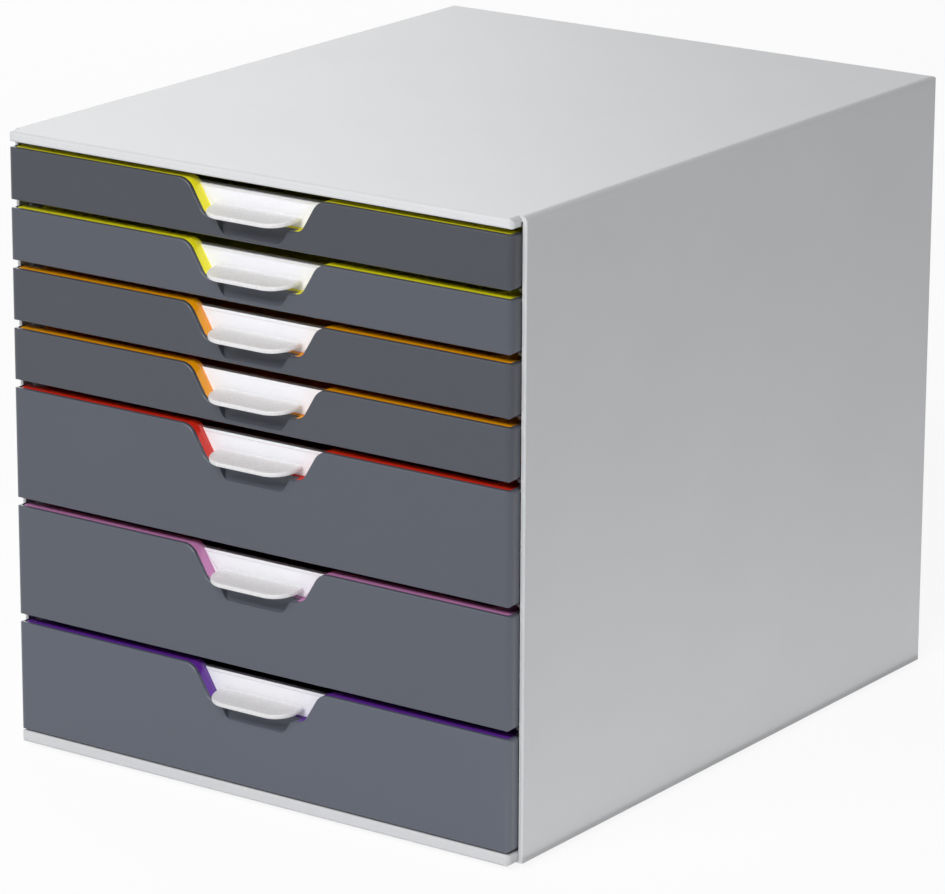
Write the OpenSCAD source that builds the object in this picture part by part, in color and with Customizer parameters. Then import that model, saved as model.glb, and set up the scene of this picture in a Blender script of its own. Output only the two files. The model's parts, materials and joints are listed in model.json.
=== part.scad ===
// Closed desktop drawer tower: a moulded casing with seven trays that slide on ribs in its side walls.
// X runs to the right, Y to the back and Z up. The feet stand on z = 0, and the origin is the middle
// of the space that the whole tower takes on the table, grips included.

/* [Casing] */
// Width over the side walls
casing_w = 280; // [240:1:340]
// Depth from the drawer fronts to the back edge
casing_d = 346.5; // [280:0.5:420]
// Thickness of the side walls
wall_t = 2; // [1.6:0.1:3]
// Thickness of the top
top_t = 2.5; // [2:0.1:4]
// Height of the lip under the front edge of the top
header_h = 4.6; // [4:0.1:8]
// Height of the strip along the front of the base
base_h = 5.5; // [4.6:0.1:9]
// Thickness of the bottom
bottom_t = 1.8; // [1.4:0.1:2.6]
// Rounding of the long edges of the casing
edge_r = 2.5; // [1:0.1:4]
// Height of the rubber feet under the base
foot_h = 2.5; // [1.5:0.1:5]
// Diameter of the rubber feet
foot_d = 16; // [10:1:24]
// Distance of each foot's centre from the outer sides
foot_inset = 30; // [16:1:60]

/* [Drawers] */
// Height from one drawer level to the next
unit_h = 28; // [27:0.1:36]
// Levels that each of the four upper drawers takes
upper_units = 1; // [1:1:2]
// Levels that each of the three lower drawers takes
lower_units = 2; // [1:1:3]
// Gap between one front and the next
front_gap = 3.8; // [2.5:0.1:4.2]
// Gap between the highest front and the lip of the top
top_gap = 2.5; // [2.1:0.1:6]
// Gap between the lowest front and the strip of the base
base_gap = 0.7; // [0.5:0.1:3]
// How far each drawer slides out to its stop
travel = 245; // [120:1:255]

/* [Fronts] */
// How far each front stands in from the outer sides
face_step = 2.2; // [1:0.1:3]
// Rounding of the upright corners of the fronts, the lip and the base strip
corner_r = 3; // [3:0.1:8]
// Rounding of the corners of a front, seen from the front
outline_r = 1.8; // [0.5:0.1:3]
// Rounding of the long front edges
soft_r = 0.8; // [0.3:0.1:1.2]
// Thickness of a front
skin_t = 1.8; // [1.4:0.1:2.2]
// How far the ends of a front wrap back round the tray
wrap_d = 7.2; // [6:0.1:9]

/* [Cut-out] */
// Half width of the cut-out, where its sloping sides meet the top edge
notch_half = 35.7; // [32:0.1:43]
// Depth of the cut-out below the top edge
notch_depth = 15.6; // [12.9:0.1:16.2]
// Slope of the sides of the cut-out
notch_angle = 59; // [50:1:75]
// Rounding of the shoulders of the cut-out
notch_top_r = 8; // [4:0.5:9]
// Rounding of the lower corners of the cut-out
notch_low_r = 6.5; // [3:0.5:8]
// How far the cut-out is sunk behind the front
recess_d = 7.2; // [6:0.1:9]
// Half width of the finger scoop under the cut-out
scoop_half = 20; // [14:0.5:22]
// Height of the finger scoop
scoop_h = 6.7; // [4:0.1:7]
// Depth of the finger scoop at its upper edge
scoop_d = 4; // [2:0.1:4.2]

/* [Grip] */
// How far the grip stands out in front of the drawer
grip_reach = 9.5; // [6:0.1:14]
// Half width of the grip
grip_half = 23; // [16:0.5:24]
// Rounding of the front corners of the grip, seen from above
grip_corner_r = 11; // [4:0.1:11]
// Height of the grip's rim
grip_t = 2; // [1.6:0.1:2.2]
// Height of the grip's upper face below the top edge of the front, at the window
grip_drop = 9.8; // [7:0.1:9.9]
// How steeply the grip falls to its front edge
grip_tilt = 6; // [0:0.5:8]
// Thickness of the clear window that the grip is moulded on
window_t = 1.6; // [1:0.1:1.8]
// Thickness of the label card behind the window
card_t = 0.3; // [0.2:0.05:0.5]

/* [Trays] */
// Thickness of the tray walls
tray_t = 1.5; // [1.2:0.1:2.5]
// Width of the runner flange along each side of a tray
runner_w = 7.5; // [6:0.1:10]
// Thickness of the runner flange and the rim
flange_t = 1.8; // [1.4:0.1:2.4]
// Rounding of the inner upright corners of a tray
tray_r = 6; // [3:0.5:12]
// Rounding between the floor and the walls of a tray
floor_r = 3; // [1.5:0.5:5]

/* [Clearances] */
// Gap between a runner flange and the rib under it
run_gap = 0.3; // [0.2:0.05:0.5]
// Gap between a runner flange and the rib over it
lift_gap = 0.4; // [0.3:0.05:0.6]
// Gap between a front and the edge of the side walls
shut_gap = 0.3; // [0.2:0.05:0.6]
// Gap round pieces that are clipped together
fit_gap = 0.2; // [0.1:0.05:0.3]

/* [Hidden] */
$fn = 48;
drawers = [1, 2, 3, 4, 5, 6, 7];
cut = 1; // how far a cutting shape runs past what it cuts
bite = 0.005; // how far a straight side runs into the round that it meets

// Drawer levels, counted from the top
units = [for (i = drawers) i < 5 ? upper_units : lower_units];
function units_over(i) = i == 1 ? 0 : units_over(i - 1) + units[i - 2];
unit_count = units_over(7) + units[6];
panels_low = foot_h + base_h + base_gap;
panels_top = panels_low + unit_count * unit_h - front_gap;
casing_top = panels_top + top_gap + header_h;
function level_top(k) = panels_top - k * unit_h;
function front_top(i) = level_top(units_over(i));
function front_low(i) = front_top(i) - units[i - 1] * unit_h + front_gap;

// Places along the depth
front_y = -(casing_d - grip_reach) / 2;
back_y = front_y + casing_d;
wall_y = front_y + wrap_d + shut_gap;
store_y = front_y + recess_d;
rim_y = front_y + skin_t + fit_gap;
ledge_t = 2;
ledge_w = 4;
back_t = 2;
back_inset = 1.5;
back_clear = 1.5;
back_panel_y = back_y - back_inset - back_t;
ledge_y = back_panel_y - ledge_t;
tray_back_y = ledge_y - back_clear;
flange_setback = 20;
flange_y = front_y + flange_setback;

// Places across the width
inner_half = casing_w / 2 - wall_t;
face_half = casing_w / 2 - face_step;
flange_gap = 2.5;
flange_half = inner_half - flange_gap;
tray_half = flange_half - runner_w;
rib_gap = 2.5;
rib_half = tray_half + rib_gap;
rim_gap = 0.5;
rim_half = face_half - skin_t - rim_gap;
rim_corner_r = tray_t + 1;

// Places up the height
rim_drop = 0.3;
flange_low = rim_drop + flange_t;
seam_h = 0.8;
wall_low = foot_h + seam_h;
bottom_top = foot_h + bottom_t;
base_top = foot_h + base_h;
foot_sink = 0.6;
tray_lift = 0.9;
rear_drop = 4;
rear_post = 10;

// Ribs, stops and clips
rib_t = 1.6;
rib_setback = 13;
rib_y = front_y + rib_setback;
rib_nose_r = (inner_half - rib_half) / 2;
stop_len = 4;
stop_in = 1.8;
stop_y = rib_y + 1;
lug_gap = 0.8;
lug_len = 6;
lug_y = stop_y + stop_len + travel + run_gap;
clip_len = 18;
clip_t = 1.2;
clip_rise = 1.4;

// Roundings of the top's lip, the base strip and the grip
lip_r = 1.5;
strip_low_r = 1.2;
strip_end_r = 1.8;
grip_top_r = 0.9;
grip_low_r = 0.5;
grip_skin = 1.3;

// Cut-out: centres of its rounded corners, and the way that its right side faces
shoulder_x = notch_half + notch_top_r * tan(notch_angle / 2);
foot_x = notch_half - notch_depth / tan(notch_angle) - notch_low_r * tan(notch_angle / 2);
low_c = [foot_x, notch_low_r - notch_depth];
top_c = [shoulder_x, -notch_top_r];
side_out = [sin(notch_angle), -cos(notch_angle)];
window_drop = 1.4;
card_drop = 2.6;
dip_drop = 3.2;

// Finger scoop: it follows a circle whose centre lies in front of the drawer
scoop_ahead = 6;
scoop_over = (scoop_d * (scoop_d + 2 * scoop_ahead) - scoop_h * scoop_h) / (2 * scoop_h);
scoop_r = norm([scoop_ahead, scoop_h + scoop_over]);
scoop_under = 0.1;
scoop_corner_r = 4.5;
scoop_skin = 1.5;

// Colours
casing_colour = [0.82, 0.83, 0.84];
front_colour = [0.36, 0.38, 0.43];
tray_colours = [
    [0.92, 0.89, 0.38], [0.92, 0.89, 0.38], [0.89, 0.57, 0.08], [0.89, 0.57, 0.08],
    [0.75, 0.24, 0.2], [0.75, 0.52, 0.7], [0.35, 0.2, 0.59],
];

// A flat outline drawn in x and y, made solid along one axis
module along_x(from, to) {
    translate([from, 0, 0]) rotate([90, 0, 90]) linear_extrude(to - from) children();
}
module along_y(from, to) {
    translate([0, to, 0]) rotate([90, 0, 0]) linear_extrude(to - from) children();
}
module along_z(from, to) {
    translate([0, 0, from]) linear_extrude(to - from) children();
}

// Both sides of the tower
module both_sides() {
    children();
    mirror([1, 0, 0]) children();
}

// Rectangle between two corners; the four radii run anticlockwise from the low corner
module round_2d(low, high, radii) {
    x = [low[0], high[0], high[0], low[0]];
    y = [low[1], low[1], high[1], high[1]];
    inward_x = [1, -1, -1, 1];
    inward_y = [1, 1, -1, -1];
    centres = [for (k = [0:3]) [x[k] + inward_x[k] * radii[k], y[k] + inward_y[k] * radii[k]]];
    polygon([
        for (k = [0:3])
            let (upright = [x[k], centres[k][1]], level = [centres[k][0], y[k]])
            each radii[k] == 0 ? [upright] : k % 2 == 0 ? [upright, level] : [level, upright]
    ]);
    for (k = [0:3]) {
        if (radii[k] > 0) translate(centres[k]) circle(radii[k]);
    }
}

// Plan of everything that is flush with the drawer fronts, drawn in by inset
module face_plan(depth, inset = 0) {
    r = corner_r - inset;
    round_2d([-face_half + inset, front_y + inset], [face_half - inset, front_y + depth], [r, r, 0, 0]);
}

// Cut-out seen from the front, its top edge at y = 0, made larger all round by grow
module notch_2d(grow = 0) {
    low_r = notch_low_r + grow;
    top_r = notch_top_r - grow;
    right = [
        [foot_x, -notch_depth - grow], low_c + (low_r - bite) * side_out,
        top_c - (top_r - bite) * side_out, [shoulder_x, -grow], [shoulder_x, cut],
    ];
    left = [for (k = [len(right) - 1:-1:0]) [-right[k][0], right[k][1]]];
    difference() {
        union() {
            polygon(concat(right, left));
            for (side = [-1, 1]) translate([side * low_c[0], low_c[1]]) circle(low_r);
        }
        for (side = [-1, 1]) translate([side * top_c[0], top_c[1]]) circle(top_r);
    }
}

// What is cleared along an edge that is rounded to r: the material lies at x > 0 and y > 0
module edge_void(r, depth) {
    difference() {
        translate([-cut, -cut]) {
            square(cut + r);
            square([cut, cut + depth]);
        }
        translate([r, r]) circle(r);
    }
}

// Clears the right side of the cut-out and rounds its front edge; front at y = 0, top edge at z = 0.
// The arcs are larger than the straight side by bite, so that they cross it instead of touching it,
// and the lower one runs past its ends by a few degrees.
module notch_side(depth) {
    from = low_c + notch_low_r * side_out;
    to = top_c - notch_top_r * side_out;
    past = 4;
    translate([low_c[0], 0, low_c[1]]) rotate([-90, 0, 0]) rotate([0, 0, 90 - notch_angle - past])
        rotate_extrude(angle = notch_angle + 2 * past)
            translate([notch_low_r + bite, 0]) edge_void(soft_r, depth);
    translate([from[0], 0, from[1]]) rotate([0, 90 - notch_angle, 0])
        linear_extrude(norm(to - from) + cut / 2) edge_void(soft_r, depth);
    translate([top_c[0], 0, top_c[1]]) rotate([-90, 0, 0]) rotate([0, 0, 270 - notch_angle])
        rotate_extrude(angle = notch_angle)
            translate([notch_top_r + bite, 0]) mirror([1, 0]) edge_void(soft_r, depth);
}

// Finger scoop seen from the front, made larger by grow
module scoop_2d(grow) {
    slope = 1 / tan(notch_angle);
    high = scoop_h + scoop_under + grow;
    top = grow - notch_depth;
    low = -notch_depth - high;
    half = scoop_half + grow / sin(notch_angle);
    r = scoop_corner_r + grow;
    foot = half - high * slope;
    c = [foot - r * tan(notch_angle / 2), low + r];
    edge = [c[0] + r * sin(notch_angle), c[1] - r * cos(notch_angle)];
    polygon([
        [-c[0], low], [c[0], low], edge, [half + grow * slope, top],
        [-half - grow * slope, top], [-edge[0], edge[1]],
    ]);
    for (side = [-1, 1]) translate([side * c[0], c[1]]) circle(r);
}

// Body of the finger scoop under a front edge at height top, made larger by grow
module scoop(top, grow) {
    intersection() {
        translate([0, 0, top]) along_y(front_y - cut, store_y) scoop_2d(grow);
        translate([0, front_y - scoop_ahead, top - notch_depth + scoop_over])
            rotate([0, 90, 0]) cylinder(r = scoop_r + grow, h = casing_w, center = true);
    }
}

// Light grey casing: top, side walls, lip, runner ribs, stops and the ledge that the back rests on
module casing_shell() {
    color(casing_colour) {
        casing_walls();
        both_sides() {
            for (k = [0:unit_count - 1]) runner_ribs(level_top(k));
        }
        back_ledge();
    }
}

module casing_walls() {
    half = casing_w / 2;
    lip_low = casing_top - header_h;
    difference() {
        union() {
            intersection() {
                along_z(wall_low, casing_top)
                    round_2d([-half, wall_y], [half, back_y], [soft_r, soft_r, edge_r, edge_r]);
                along_y(wall_y, back_y)
                    round_2d([-half, wall_low], [half, casing_top], [0, 0, edge_r, edge_r]);
                along_x(-half, half)
                    round_2d([wall_y, wall_low], [back_y, casing_top], [0, 0, edge_r, 0]);
            }
            intersection() {
                along_z(lip_low, casing_top) face_plan(wrap_d + shut_gap + wall_t);
                along_x(-half, half)
                    round_2d([front_y, lip_low], [wall_y + wall_t, casing_top], [soft_r, 0, 0, lip_r]);
                along_y(front_y, wall_y + wall_t) round_2d(
                    [-face_half, lip_low], [face_half, casing_top], [soft_r, soft_r, edge_r, edge_r]
                );
            }
        }
        // room for the drawers, open at the back and at the front
        along_z(foot_h, casing_top - top_t)
            round_2d([-inner_half, wall_y - cut], [inner_half, back_y + cut], [0, 0, 0, 0]);
        along_z(foot_h, casing_top - top_t) face_plan(wrap_d + shut_gap + cut, wall_t);
    }
}

// The groove that one runner flange slides in, on the right-hand wall, with its front stop
module runner_ribs(top) {
    under = top - flange_low - run_gap - rib_t;
    over = top - rim_drop + lift_gap;
    root = inner_half + wall_t / 2;
    for (low = [under, over]) {
        along_z(low, low + rib_t)
            round_2d([rib_half, rib_y], [root, ledge_y + ledge_t / 2], [rib_nose_r, 0, 0, 0]);
    }
    along_z(under + rib_t / 2, over + rib_t / 2)
        round_2d([inner_half - stop_in, stop_y], [root, stop_y + stop_len], [1, 0, 0, 0]);
}

module back_ledge() {
    high = casing_top - top_t;
    root = inner_half + wall_t / 2;
    along_y(ledge_y, back_panel_y) difference() {
        round_2d([-root, base_top + fit_gap], [root, high + top_t / 2], [0, 0, 0, 0]);
        round_2d([-inner_half + ledge_w, foot_h], [inner_half - ledge_w, high - ledge_w], [0, 0, 3, 3]);
    }
}

// Back, let in between the walls behind the ledge, with a raised field
module back_panel() {
    low = bottom_top + fit_gap;
    high = casing_top - top_t - fit_gap;
    half = inner_half - fit_gap;
    field_in = 16;
    field_t = 0.8;
    field_r = 10;
    color(casing_colour) {
        along_y(back_panel_y, back_panel_y + back_t) round_2d([-half, low], [half, high], 2 * [1, 1, 1, 1]);
        along_y(back_panel_y + back_t / 2, back_panel_y + back_t + field_t)
            round_2d(
                [-half + field_in, low + field_in], [half - field_in, high - field_in],
                field_r * [1, 1, 1, 1]
            );
    }
}

// Base: a shallow pan between the walls, whose thin edge also shows under them
module base_plate() {
    half = casing_w / 2;
    floor_half = inner_half - fit_gap;
    pan_d = back_panel_y - fit_gap - front_y;
    color(casing_colour) difference() {
        union() {
            intersection() {
                along_z(foot_h, base_top) face_plan(pan_d);
                along_x(-half, half)
                    round_2d([front_y, foot_h], [back_y, base_top], [strip_low_r, 0, 0, soft_r]);
                along_y(front_y, back_y)
                    round_2d([-face_half, foot_h], [face_half, base_top], strip_end_r * [1, 1, 1, 1]);
            }
            along_z(foot_h, bottom_top)
                round_2d([-floor_half, wall_y], [floor_half, back_y - back_inset], [0, 0, 0, 0]);
            along_z(foot_h, wall_low)
                round_2d([-half, wall_y], [half, back_y], [soft_r, soft_r, edge_r, edge_r]);
        }
        along_z(bottom_top, base_top + cut) face_plan(pan_d - wall_t, wall_t);
        foot_places() cylinder(d = foot_d + 2 * fit_gap, h = foot_h + foot_sink);
    }
}

module foot_places() {
    for (x = [-1, 1], y = [front_y + foot_inset, back_y - foot_inset]) {
        translate([x * (casing_w / 2 - foot_inset), y, 0]) children();
    }
}

// Round rubber feet, each let into its socket in the base
module feet() {
    color([0.2, 0.2, 0.21]) foot_places() rotate_extrude()
        round_2d([0, 0], [foot_d / 2, foot_h + foot_sink], [0, 1, 0.3, 0]);
}

// Coloured tray: storage tub, runner flanges with stop lugs, and the hollow frame behind the front
module tray(i) {
    top = front_top(i);
    rim = top - rim_drop;
    low = front_low(i) + tray_lift;
    rear_half = tray_half - rear_post;
    color(tray_colours[i - 1]) {
        difference() {
            union() {
                tub(low, rim);
                along_z(rim - flange_t, rim) flange_plan();
            }
            tub_cavity(low, rim);
            // the rear wall ends a little lower
            along_y(tray_back_y - 2 * tray_t, tray_back_y + cut)
                round_2d([-rear_half, rim - rear_drop], [rear_half, rim + cut], [3, 3, 0, 0]);
            cut_out(top, recess_d, notch_depth);
            cut_out(top, recess_d + tray_t + cut, dip_drop);
        }
        difference() {
            front_frame(top, front_low(i) + skin_t + fit_gap, rim);
            cut_out(top, recess_d, notch_depth);
            scoop(top, scoop_skin + fit_gap);
        }
    }
}

module tub(low, rim) {
    r = tray_r + tray_t;
    sole_r = floor_r + tray_t;
    intersection() {
        along_z(low, rim)
            round_2d([-tray_half, store_y], [tray_half, tray_back_y], [r, r, r, r]);
        along_y(store_y, tray_back_y)
            round_2d([-tray_half, low], [tray_half, rim], [sole_r, sole_r, 0, 0]);
        along_x(-tray_half, tray_half)
            round_2d([store_y, low], [tray_back_y, rim], [sole_r, sole_r, 0, 0]);
    }
}

module tub_cavity(low, rim) {
    half = tray_half - tray_t;
    front = store_y + tray_t;
    back = tray_back_y - tray_t;
    intersection() {
        along_z(low + tray_t, rim + cut)
            round_2d([-half, front], [half, back], [tray_r, tray_r, tray_r, tray_r]);
        along_y(front, back)
            round_2d([-half, low + tray_t], [half, rim + cut], [floor_r, floor_r, 0, 0]);
        along_x(-half, half)
            round_2d([front, low + tray_t], [back, rim + cut], [floor_r, floor_r, 0, 0]);
    }
}

// Rim over the front frame, runner flanges along the sides, and a stop lug on each
module flange_plan() {
    frame_plan(0);
    round_2d([-flange_half, flange_y], [flange_half, tray_back_y], [3, 3, 3, 3]);
    both_sides() {
        round_2d([tray_half, lug_y], [inner_half - lug_gap, lug_y + lug_len], [0, 0.4, 0.4, 0]);
    }
}

// The cut-out as a solid, down to drop below the top edge and depth behind the front
module cut_out(top, depth, drop) {
    translate([0, 0, top]) along_y(front_y - cut, front_y + depth) intersection() {
        notch_2d();
        translate([-casing_w / 2, -drop]) square([casing_w, drop + cut]);
    }
}

// Hollow frame between the front and the storage tub: skirt, cheeks and the walls of the cut-out
module front_frame(top, low, rim) {
    difference() {
        along_z(low, rim - flange_t / 2) difference() {
            frame_plan(0);
            frame_plan(tray_t);
            round_2d([-tray_half + tray_r, store_y], [tray_half - tray_r, back_y], [0, 0, 0, 0]);
        }
        translate([0, 0, top]) along_y(front_y, rim_y + tray_t + cut) scoop_2d(scoop_skin + fit_gap);
    }
    translate([0, 0, top]) along_y(rim_y, store_y + tray_t / 2) difference() {
        intersection() {
            notch_2d(tray_t);
            translate([-casing_w / 2, -casing_top]) square([casing_w, casing_top - rim_drop]);
        }
        notch_2d();
    }
}

// Plan of the frame behind the front, drawn in by inset
module frame_plan(inset) {
    r = rim_corner_r - inset;
    half = rim_half - inset;
    round_2d([-half, rim_y + inset], [half, store_y + tray_t - inset], [r, r, 0, 0]);
}

// Grey front: a skin with wrapped ends and a bottom return that clips under the tray's skirt
module front_panel(i) {
    top = front_top(i);
    low = front_low(i);
    clip_x = [-0.75, -0.25, 0.25, 0.75];
    color(front_colour) difference() {
        union() {
            difference() {
                intersection() {
                    along_z(low, top) face_plan(wrap_d);
                    along_y(front_y, front_y + wrap_d)
                        round_2d([-face_half, low], [face_half, top], outline_r * [1, 1, 1, 1]);
                    along_x(-face_half, face_half)
                        round_2d([front_y, low], [front_y + wrap_d, top], [soft_r, 0, 0, soft_r]);
                }
                along_z(low + skin_t, top + cut) face_plan(wrap_d + cut, skin_t);
            }
            for (x = clip_x) {
                translate([x * rim_half - clip_len / 2, rim_y + tray_t + fit_gap, low + skin_t / 2])
                    cube([clip_len, clip_t, skin_t / 2 + clip_rise]);
            }
            intersection() {
                scoop(top, scoop_skin);
                translate([-casing_w / 2, front_y + skin_t / 2, low + skin_t / 2])
                    cube([casing_w, wrap_d, top - notch_depth - low - skin_t / 2]);
            }
        }
        scoop(top, 0);
        translate([0, front_y, top]) {
            along_y(-cut, skin_t + cut) notch_2d(-cut / 2);
            translate([-foot_x, 0, -notch_depth]) rotate([0, 90, 0])
                linear_extrude(2 * foot_x) edge_void(soft_r, skin_t + cut);
            both_sides() notch_side(skin_t + cut);
        }
    }
}

// Clear window in the cut-out with the frosted grip moulded on its face
module label_grip(i) {
    top = front_top(i);
    window_back = store_y - card_t;
    window_front = window_back - window_t;
    tip_y = front_y - grip_reach;
    color([0.93, 0.93, 0.95, 0.6]) {
        clipped_window(top, window_front, window_back, fit_gap, window_drop);
        intersection() {
            translate([0, window_front, top - grip_drop]) rotate([grip_tilt, 0, 0])
                grip_plate(window_front - tip_y);
            along_y(tip_y - cut, window_front + window_t / 2)
                round_2d([-grip_half - cut, top - notch_depth], [grip_half + cut, top], [0, 0, 0, 0]);
        }
    }
}

// The grip before it is tilted: its upper face is at z = 0 and leaves the window at y = 0.
// Tilted, it reaches as far as reach in front of the window, to a hundredth.
module grip_plate(reach) {
    length = grip_top_r + (reach - grip_top_r + grip_top_r * sin(grip_tilt)) / cos(grip_tilt);
    front = -round(100 * length) / 100;
    inner_x = grip_half - grip_skin;
    inner_r = grip_corner_r - grip_skin;
    difference() {
        along_z(-grip_t, 0)
            round_2d([-grip_half, front], [grip_half, window_t], [grip_corner_r, grip_corner_r, 0, 0]);
        along_z(-grip_t - cut, -grip_skin)
            round_2d([-inner_x, front + grip_skin], [inner_x, 0], [inner_r, inner_r, 0, 0]);
        both_sides() {
            grip_edge(front, grip_top_r);
            translate([0, 0, -grip_t]) mirror([0, 0, 1]) grip_edge(front, grip_low_r);
        }
    }
}

// Rounds the upper edge of the right half of the grip; the edge is at z = 0
module grip_edge(front, r) {
    corner_c = [grip_half - grip_corner_r, front + grip_corner_r];
    along_x(-bite, corner_c[0]) translate([front, 0]) mirror([0, 1]) edge_void(r, r);
    translate(corner_c) rotate([0, 0, -90]) rotate_extrude(angle = 90)
        translate([grip_corner_r, 0]) mirror([0, 1]) mirror([1, 0]) edge_void(r, r);
    along_y(corner_c[1], window_t + cut)
        translate([grip_half, 0]) mirror([0, 1]) mirror([1, 0]) edge_void(r, r);
}

// White card between the window and the tray
module label_card(i) {
    color("white") clipped_window(front_top(i), store_y - card_t, store_y, 3 * fit_gap, card_drop);
}

// A plate that fills the cut-out but for gap all round, and ends drop below its top edge
module clipped_window(top, from, to, gap, drop) {
    translate([0, 0, top]) along_y(from, to) intersection() {
        notch_2d(-gap);
        translate([-casing_w / 2, -casing_top]) square([casing_w, casing_top - drop]);
    }
}

casing_shell();
back_panel();
base_plate();
feet();
for (i = drawers) {
    tray(i);
    front_panel(i);
    label_grip(i);
    label_card(i);
}
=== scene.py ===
"""Looks of a closed desktop drawer tower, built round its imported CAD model. Metres, +Z up, fronts face -Y."""
import json
import math

import bpy
from mathutils import Matrix, Vector


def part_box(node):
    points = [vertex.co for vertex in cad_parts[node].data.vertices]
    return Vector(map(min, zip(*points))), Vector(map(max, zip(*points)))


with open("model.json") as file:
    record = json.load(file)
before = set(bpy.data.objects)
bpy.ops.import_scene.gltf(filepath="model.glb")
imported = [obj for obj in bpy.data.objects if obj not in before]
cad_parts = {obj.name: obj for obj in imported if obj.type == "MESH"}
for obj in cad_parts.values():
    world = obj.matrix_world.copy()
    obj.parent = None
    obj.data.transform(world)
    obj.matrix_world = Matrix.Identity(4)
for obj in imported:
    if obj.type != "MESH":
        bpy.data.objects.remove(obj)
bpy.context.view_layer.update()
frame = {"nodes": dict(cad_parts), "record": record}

MM = 1e-3
MICRON = 1e-6

# The photograph's frame in pixels, and the camera that was fitted to the casing's edges in it
FRAME_W = 945
FOCAL_PX = 5059.4
SENSOR_MM = 36.0
CAMERA_AT = (1.3085, -1.8505, 0.8046)
CAMERA_AZIMUTH = 35.291
CAMERA_ELEVATION = 16.621
CAMERA_ROLL = 0.243
CAMERA_CLIP = (0.05, 50)

# Colours as they look in daylight, sRGB 0 to 255
CASING = (200, 201, 203)
FRONT = (71, 75, 85)
# Painted light and shade: how light each front is painted beside FRONT, by drawer from the top down; lighter towards
# the floor, which throws light back up, and a little lighter or darker than the next one
FRONT_PAINTED_LIGHT = (0.8, 0.99, 0.86, 0.89, 1.03, 1.07, 1.14)
TRAYS = {
    "tray_yellow": (244, 236, 34),
    "tray_orange": (244, 163, 6),
    "tray_red": (218, 42, 26),
    "tray_orchid": (204, 134, 187),
    "tray_purple": (101, 43, 158),
}
CARD = (237, 237, 241)
GRIP = (236, 235, 236)
RUBBER = (52, 52, 55)
FLOOR = (246, 246, 247)

# Moulded plastics: roughness, and height of the eroded grain
CASING_FINISH = (0.5, 14 * MICRON)
FRONT_FINISH = (0.34, 10 * MICRON)
TRAY_FINISH = (0.26, 6 * MICRON)
# How far their colour and their roughness vary to either side
TINT_SPREAD = 0.02
GLOSS_SPREAD = 0.02
WAVE_HEIGHT = 25 * MICRON

# Window and grip: how much they cover what is behind them, and how far that varies in the frosting
CLEAR_ALPHA = 0.04
FROST_ALPHA = 0.72
FROST_SPREAD = 0.04
# The window lies on the label card, and the frosting sets in over a short depth in front of the window
WINDOW_THICK = 1.6 * MM
FROST_EDGE = 0.3 * MM

# Roughness of the other surfaces, from and to where it varies
CLEAR_ROUGHNESS = 0.06
FROST_ROUGHNESS = (0.38, 0.55)
CARD_ROUGHNESS = (0.74, 0.86)
RUBBER_ROUGHNESS = (0.7, 0.88)
FLOOR_ROUGHNESS = 0.9

# Patterns, in features per metre
FLOW_CLOUDS = 14
GLOSS_PATCHES = 180
SURFACE_WAVES = 9
ERODED_GRAIN = 2200
CARD_FIBRES = 900
FROST_CLOUDS = 700
FROST_GRAIN = 1800
RUBBER_GRAIN = 1500
FLOOR_CLOUDS = 3

PLASTIC_IOR = 1.5
STYRENE_IOR = 1.58
RUBBER_IOR = 1.45

# Light: strength of the surround on the object, share of plain white in the floor that is seen, and the lamps
WHITE = (1, 1, 1, 1)
AMBIENT = 0.2
FLOOR_GLOW = 0.9
FLOOR_SIZE = 12.0
LAMPS = [
    # name, place, aim, size, power in watts
    ("front_left", (-0.5, -2.0, 1.7), (0, 0, 0.15), (0.9, 0.6), 16.5),
    ("front_right", (0.6, -2.0, 1.7), (0, 0, 0.15), (0.9, 0.6), 38),
    ("back_left", (-1.9, 1.5, 1.3), (0, 0, 0.3), (1.6, 1.2), 18.3),
    # light that the white floor throws back up beside the tower
    ("bounce_right", (0.392, 0.02, 0.004), (0.392, 0.02, 1), (0.5, 0.6), 0.46),
]


def linear(rgb):
    """sRGB 0 to 255 as the linear colour that Blender's sockets take."""
    shares = [v / 255 for v in rgb]
    return tuple(c / 12.92 if c <= 0.04045 else ((c + 0.055) / 1.055) ** 2.4 for c in shares) + (1.0,)


# ---------------------------------------------------------------- materials

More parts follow.
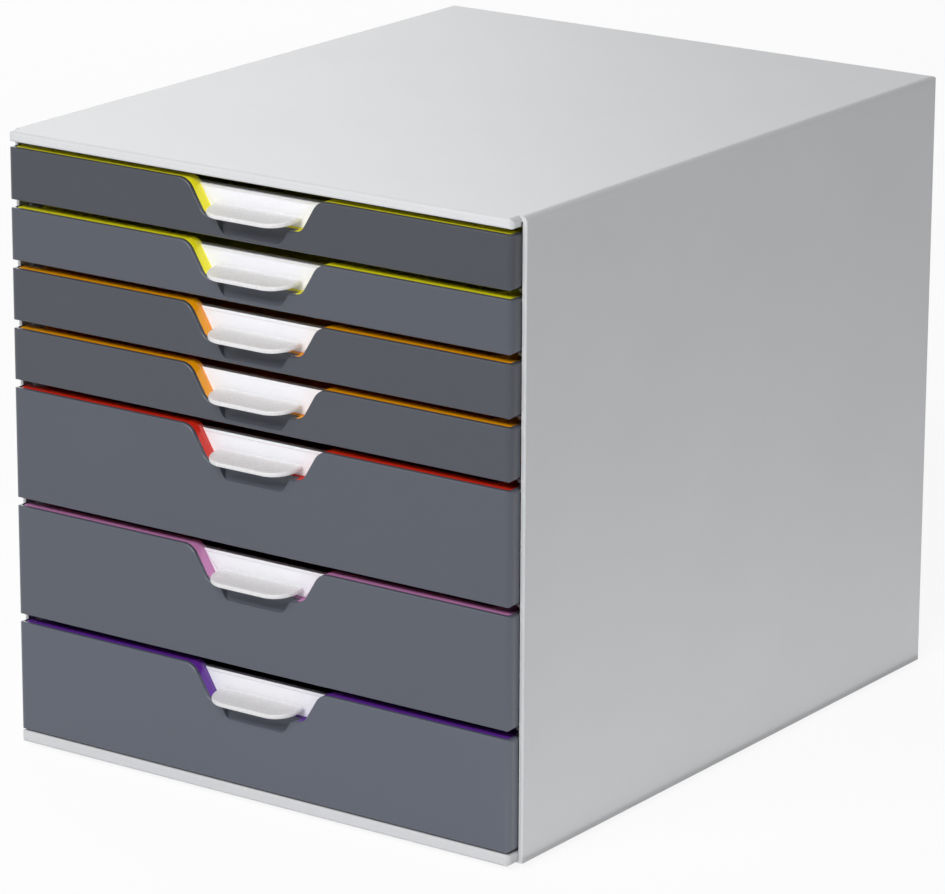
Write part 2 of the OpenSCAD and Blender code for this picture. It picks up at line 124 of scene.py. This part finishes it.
class Shader:
    """A material with one Principled shader, and short ways to feed its sockets.

    Its colour and roughness are plain values, which a viewer without patterns shows and the patterns vary.
    """

    def __init__(self, name, colour, roughness, **sockets):
        self.material = bpy.data.materials.new(name)
        self.material.use_nodes = True
        self.tree = self.material.node_tree
        self.bsdf = self.tree.nodes["Principled BSDF"]
        self.colour = linear(colour)
        self.bsdf.inputs["Base Color"].default_value = self.colour
        self.bsdf.inputs["Roughness"].default_value = roughness
        for key, value in sockets.items():
            self.bsdf.inputs[key.replace("_", " ")].default_value = value
        self.place = self.node("ShaderNodeTexCoord").outputs["Object"]

    def node(self, kind, **inputs):
        """Adds a node; its inputs are constants or other nodes' outputs."""
        made = self.tree.nodes.new(kind)
        for key, value in inputs.items():
            self.feed(made.inputs[key.replace("_", " ")], value)
        return made

    def feed(self, socket, value):
        """Gives a socket a constant or another node's output."""
        if isinstance(value, bpy.types.NodeSocket):
            self.tree.links.new(value, socket)
        else:
            socket.default_value = value

    def drive(self, socket, value):
        """Feeds a socket of the Principled shader itself."""
        self.feed(self.bsdf.inputs[socket], value)

    def noise(self, scale, detail=2.0, roughness=0.5, stretch=(1.0, 1.0, 1.0)):
        """Cloudy pattern; scale is in features per metre."""
        place = self.node("ShaderNodeMapping", Vector=self.place, Scale=stretch).outputs[0]
        made = self.node("ShaderNodeTexNoise", Vector=place, Scale=scale, Detail=detail, Roughness=roughness)
        return made.outputs["Fac"]

    def between(self, value, low, high, from_low=0.3, from_high=0.7):
        """A pattern's range from_low to from_high, stretched to low to high and cut off there."""
        made = self.node("ShaderNodeMapRange", Value=value)
        for key, number in (("From Min", from_low), ("From Max", from_high), ("To Min", low), ("To Max", high)):
            made.inputs[key].default_value = number
        return made.outputs[0]

    def blended(self, factor, low, high):
        """Numbers or patterns: low where factor is 0, high where it is 1."""
        mix = self.node("ShaderNodeMix", Factor=factor)
        self.feed(mix.inputs["A"], low)
        self.feed(mix.inputs["B"], high)
        return mix.outputs["Result"]

    def tinted(self, factor, dark, light):
        """The base colour times dark where factor is 0, and times light where it is 1."""
        mix = self.node("ShaderNodeMix")
        mix.data_type = "RGBA"
        self.feed(mix.inputs["Factor"], factor)
        for key, gain in (("A", dark), ("B", light)):
            socket = next(s for s in mix.inputs if s.name == key and s.type == "RGBA")
            socket.default_value = [min(1.0, c * gain) for c in self.colour[:3]] + [1.0]
        return next(s for s in mix.outputs if s.type == "RGBA")

    def bumps(self, heights):
        """Bumps laid over each other; heights is a list of (pattern, height in metres)."""
        normal = None
        for pattern, height in heights:
            made = self.node("ShaderNodeBump", Height=pattern, Distance=height)
            if normal is not None:
                self.feed(made.inputs["Normal"], normal)
            normal = made.outputs[0]
        self.drive("Normal", normal)


def moulded(name, colour, finish):
    """Moulded plastic: faint flow clouds, a fine eroded grain, and a gloss that varies a little."""
    roughness, grain = finish
    s = Shader(name, colour, roughness, IOR=PLASTIC_IOR)
    flow = s.between(s.noise(FLOW_CLOUDS, detail=3), 0, 1, 0.2, 0.8)
    s.drive("Base Color", s.tinted(flow, 1 - TINT_SPREAD, 1 + TINT_SPREAD))
    patches = s.noise(GLOSS_PATCHES, detail=4)
    s.drive("Roughness", s.between(patches, roughness - GLOSS_SPREAD, roughness + GLOSS_SPREAD, 0.1, 0.9))
    s.bumps([(s.noise(SURFACE_WAVES, detail=1), WAVE_HEIGHT), (s.noise(ERODED_GRAIN, detail=2), grain)])
    return s.material


def card_paper():
    """Uncoated card: fibres that lie mostly along the width."""
    s = Shader("card_paper", CARD, 0.8)
    fibre = s.noise(CARD_FIBRES, detail=5, roughness=0.65, stretch=(0.35, 1, 1))
    s.drive("Base Color", s.tinted(s.between(fibre, 0, 1), 0.97, 1.01))
    s.drive("Roughness", s.between(fibre, *CARD_ROUGHNESS))
    s.bumps([(fibre, 20 * MICRON)])
    return s.material


def grip_plastic():
    """Clear styrene: polished in the window, frosted on the grip that stands in front of it."""
    s = Shader("grip_plastic", GRIP, 0.1, IOR=STYRENE_IOR)
    window_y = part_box("label_card_1")[0].y - WINDOW_THICK
    depth = s.node("ShaderNodeSeparateXYZ", Vector=s.place).outputs["Y"]
    frosted = s.between(depth, 1, 0, window_y - FROST_EDGE, window_y)
    cloud = s.noise(FROST_CLOUDS, detail=3)
    frost_alpha = s.between(cloud, FROST_ALPHA - FROST_SPREAD, FROST_ALPHA + FROST_SPREAD)
    s.drive("Roughness", s.blended(frosted, CLEAR_ROUGHNESS, s.between(cloud, *FROST_ROUGHNESS)))
    s.drive("Alpha", s.blended(frosted, CLEAR_ALPHA, frost_alpha))
    s.bumps([(s.noise(FROST_GRAIN, detail=2), 6 * MICRON)])
    return s.material


def foot_rubber():
    """Matt rubber with a fine grain."""
    s = Shader("foot_rubber", RUBBER, 0.8, IOR=RUBBER_IOR)
    grain = s.noise(RUBBER_GRAIN, detail=4)
    s.drive("Base Color", s.tinted(s.between(grain, 0, 1), 0.85, 1.1))
    s.drive("Roughness", s.between(grain, *RUBBER_ROUGHNESS))
    s.bumps([(grain, 30 * MICRON)])
    return s.material


def paint(node, material):
    """Makes a material the only one of a CAD node."""
    mesh = frame["nodes"][node].data
    mesh.materials.clear()
    mesh.materials.append(material)


def finish_nodes():
    """Gives every CAD node the material of its slot in the record, and every front its own copy of the front plastic
    with painted light or shade.
    """
    made = {
        "casing": moulded("casing_plastic", CASING, CASING_FINISH),
        "card": card_paper(),
        "grip": grip_plastic(),
        "feet": foot_rubber(),
    }
    for slot, colour in TRAYS.items():
        made[slot] = moulded(slot + "_plastic", colour, TRAY_FINISH)
    for part in frame["record"]["subparts"]:
        if part["material_slot"] in made:
            paint(part["node"], made[part["material_slot"]])
    # Painted light: each front's copy of the front plastic is painted lighter towards the floor and a little lighter
    # or darker than its neighbours
    for drawer, painted_light in enumerate(FRONT_PAINTED_LIGHT, start=1):
        painted_light_colour = [c * painted_light for c in FRONT]
        paint(f"front_panel_{drawer}", moulded(f"front_painted_light_plastic_{drawer}", painted_light_colour, FRONT_FINISH))


# ---------------------------------------------------------------- stage, light and camera

def area_light(name, at, aim, size, power):
    """A soft rectangle of light that the camera doesn't show."""
    light = bpy.data.lights.new(name, "AREA")
    light.shape = "RECTANGLE"
    light.size, light.size_y = size
    light.energy = power
    obj = bpy.data.objects.new(name, light)
    obj.location = at
    obj.rotation_euler = (Vector(aim) - Vector(at)).to_track_quat("-Z", "Y").to_euler()
    obj.visible_camera = False
    bpy.context.scene.collection.objects.link(obj)


def seen_as_white(tree):
    """1 for a ray that shows the white surround to the camera, straight, by gloss or through a clear piece, else 0."""
    path = tree.nodes.new("ShaderNodeLightPath")
    seen = path.outputs["Is Camera Ray"]
    for kind in ("Is Glossy Ray", "Is Transmission Ray"):
        either = tree.nodes.new("ShaderNodeMath")
        either.operation = "MAXIMUM"
        tree.links.new(seen, either.inputs[0])
        tree.links.new(path.outputs[kind], either.inputs[1])
        seen = either.outputs[0]
    return seen


def make_floor():
    """A wide white floor: where it is seen it is mostly plain white, and it keeps a light shadow."""
    far = FLOOR_SIZE / 2
    mesh = bpy.data.meshes.new("floor")
    mesh.from_pydata([(-far, -far, 0), (far, -far, 0), (far, far, 0), (-far, far, 0)], [], [(0, 1, 2, 3)])
    floor = bpy.data.objects.new("floor", mesh)
    bpy.context.scene.collection.objects.link(floor)
    s = Shader("floor_white", FLOOR, FLOOR_ROUGHNESS)
    s.drive("Base Color", s.tinted(s.between(s.noise(FLOOR_CLOUDS), 0, 1), 0.995, 1.0))
    white = s.node("ShaderNodeEmission", Color=WHITE, Strength=1.0)
    share = s.node("ShaderNodeMath", Value=seen_as_white(s.tree))
    share.operation = "MULTIPLY"
    share.inputs[1].default_value = FLOOR_GLOW
    mix = s.node("ShaderNodeMixShader", Fac=share.outputs[0])
    s.tree.links.new(s.bsdf.outputs[0], mix.inputs[1])
    s.tree.links.new(white.outputs[0], mix.inputs[2])
    s.tree.links.new(mix.outputs[0], s.tree.nodes["Material Output"].inputs["Surface"])
    mesh.materials.append(s.material)


def make_world():
    """An even white surround for the camera and for reflections, and a dimmer one that lights the object."""
    world = bpy.data.worlds.new("studio")
    bpy.context.scene.world = world
    world.use_nodes = True
    tree = world.node_tree
    tree.nodes.clear()
    out = tree.nodes.new("ShaderNodeOutputWorld")
    mix = tree.nodes.new("ShaderNodeMixShader")
    ambient = tree.nodes.new("ShaderNodeBackground")
    seen = tree.nodes.new("ShaderNodeBackground")
    ambient.inputs["Color"].default_value = WHITE
    ambient.inputs["Strength"].default_value = AMBIENT
    seen.inputs["Color"].default_value = WHITE
    seen.inputs["Strength"].default_value = 1.0
    tree.links.new(seen_as_white(tree), mix.inputs[0])
    tree.links.new(ambient.outputs[0], mix.inputs[1])
    tree.links.new(seen.outputs[0], mix.inputs[2])
    tree.links.new(mix.outputs[0], out.inputs[0])


def make_camera():
    """The photograph's view of the tower; azimuth turns from the front to the tower's right side."""
    azimuth, elevation, roll = (math.radians(a) for a in (CAMERA_AZIMUTH, CAMERA_ELEVATION, CAMERA_ROLL))
    away = Vector((-math.sin(azimuth), math.cos(azimuth), 0))
    forward = math.cos(elevation) * away - math.sin(elevation) * Vector((0, 0, 1))
    level = Vector((math.cos(azimuth), math.sin(azimuth), 0))
    upright = level.cross(forward)
    right = math.cos(roll) * level + math.sin(roll) * upright
    up = math.cos(roll) * upright - math.sin(roll) * level
    camera = bpy.data.cameras.new("camera")
    camera.sensor_width = SENSOR_MM
    camera.lens = FOCAL_PX * SENSOR_MM / FRAME_W
    camera.clip_start, camera.clip_end = CAMERA_CLIP
    obj = bpy.data.objects.new("camera", camera)
    obj.matrix_world = Matrix.Translation(CAMERA_AT) @ Matrix((right, up, -forward)).transposed().to_4x4()
    bpy.context.scene.collection.objects.link(obj)
    bpy.context.scene.camera = obj


make_camera()
make_world()
make_floor()
for lamp in LAMPS:
    area_light(*lamp)
finish_nodes()

bpy.context.scene.view_settings.view_transform = "Standard"
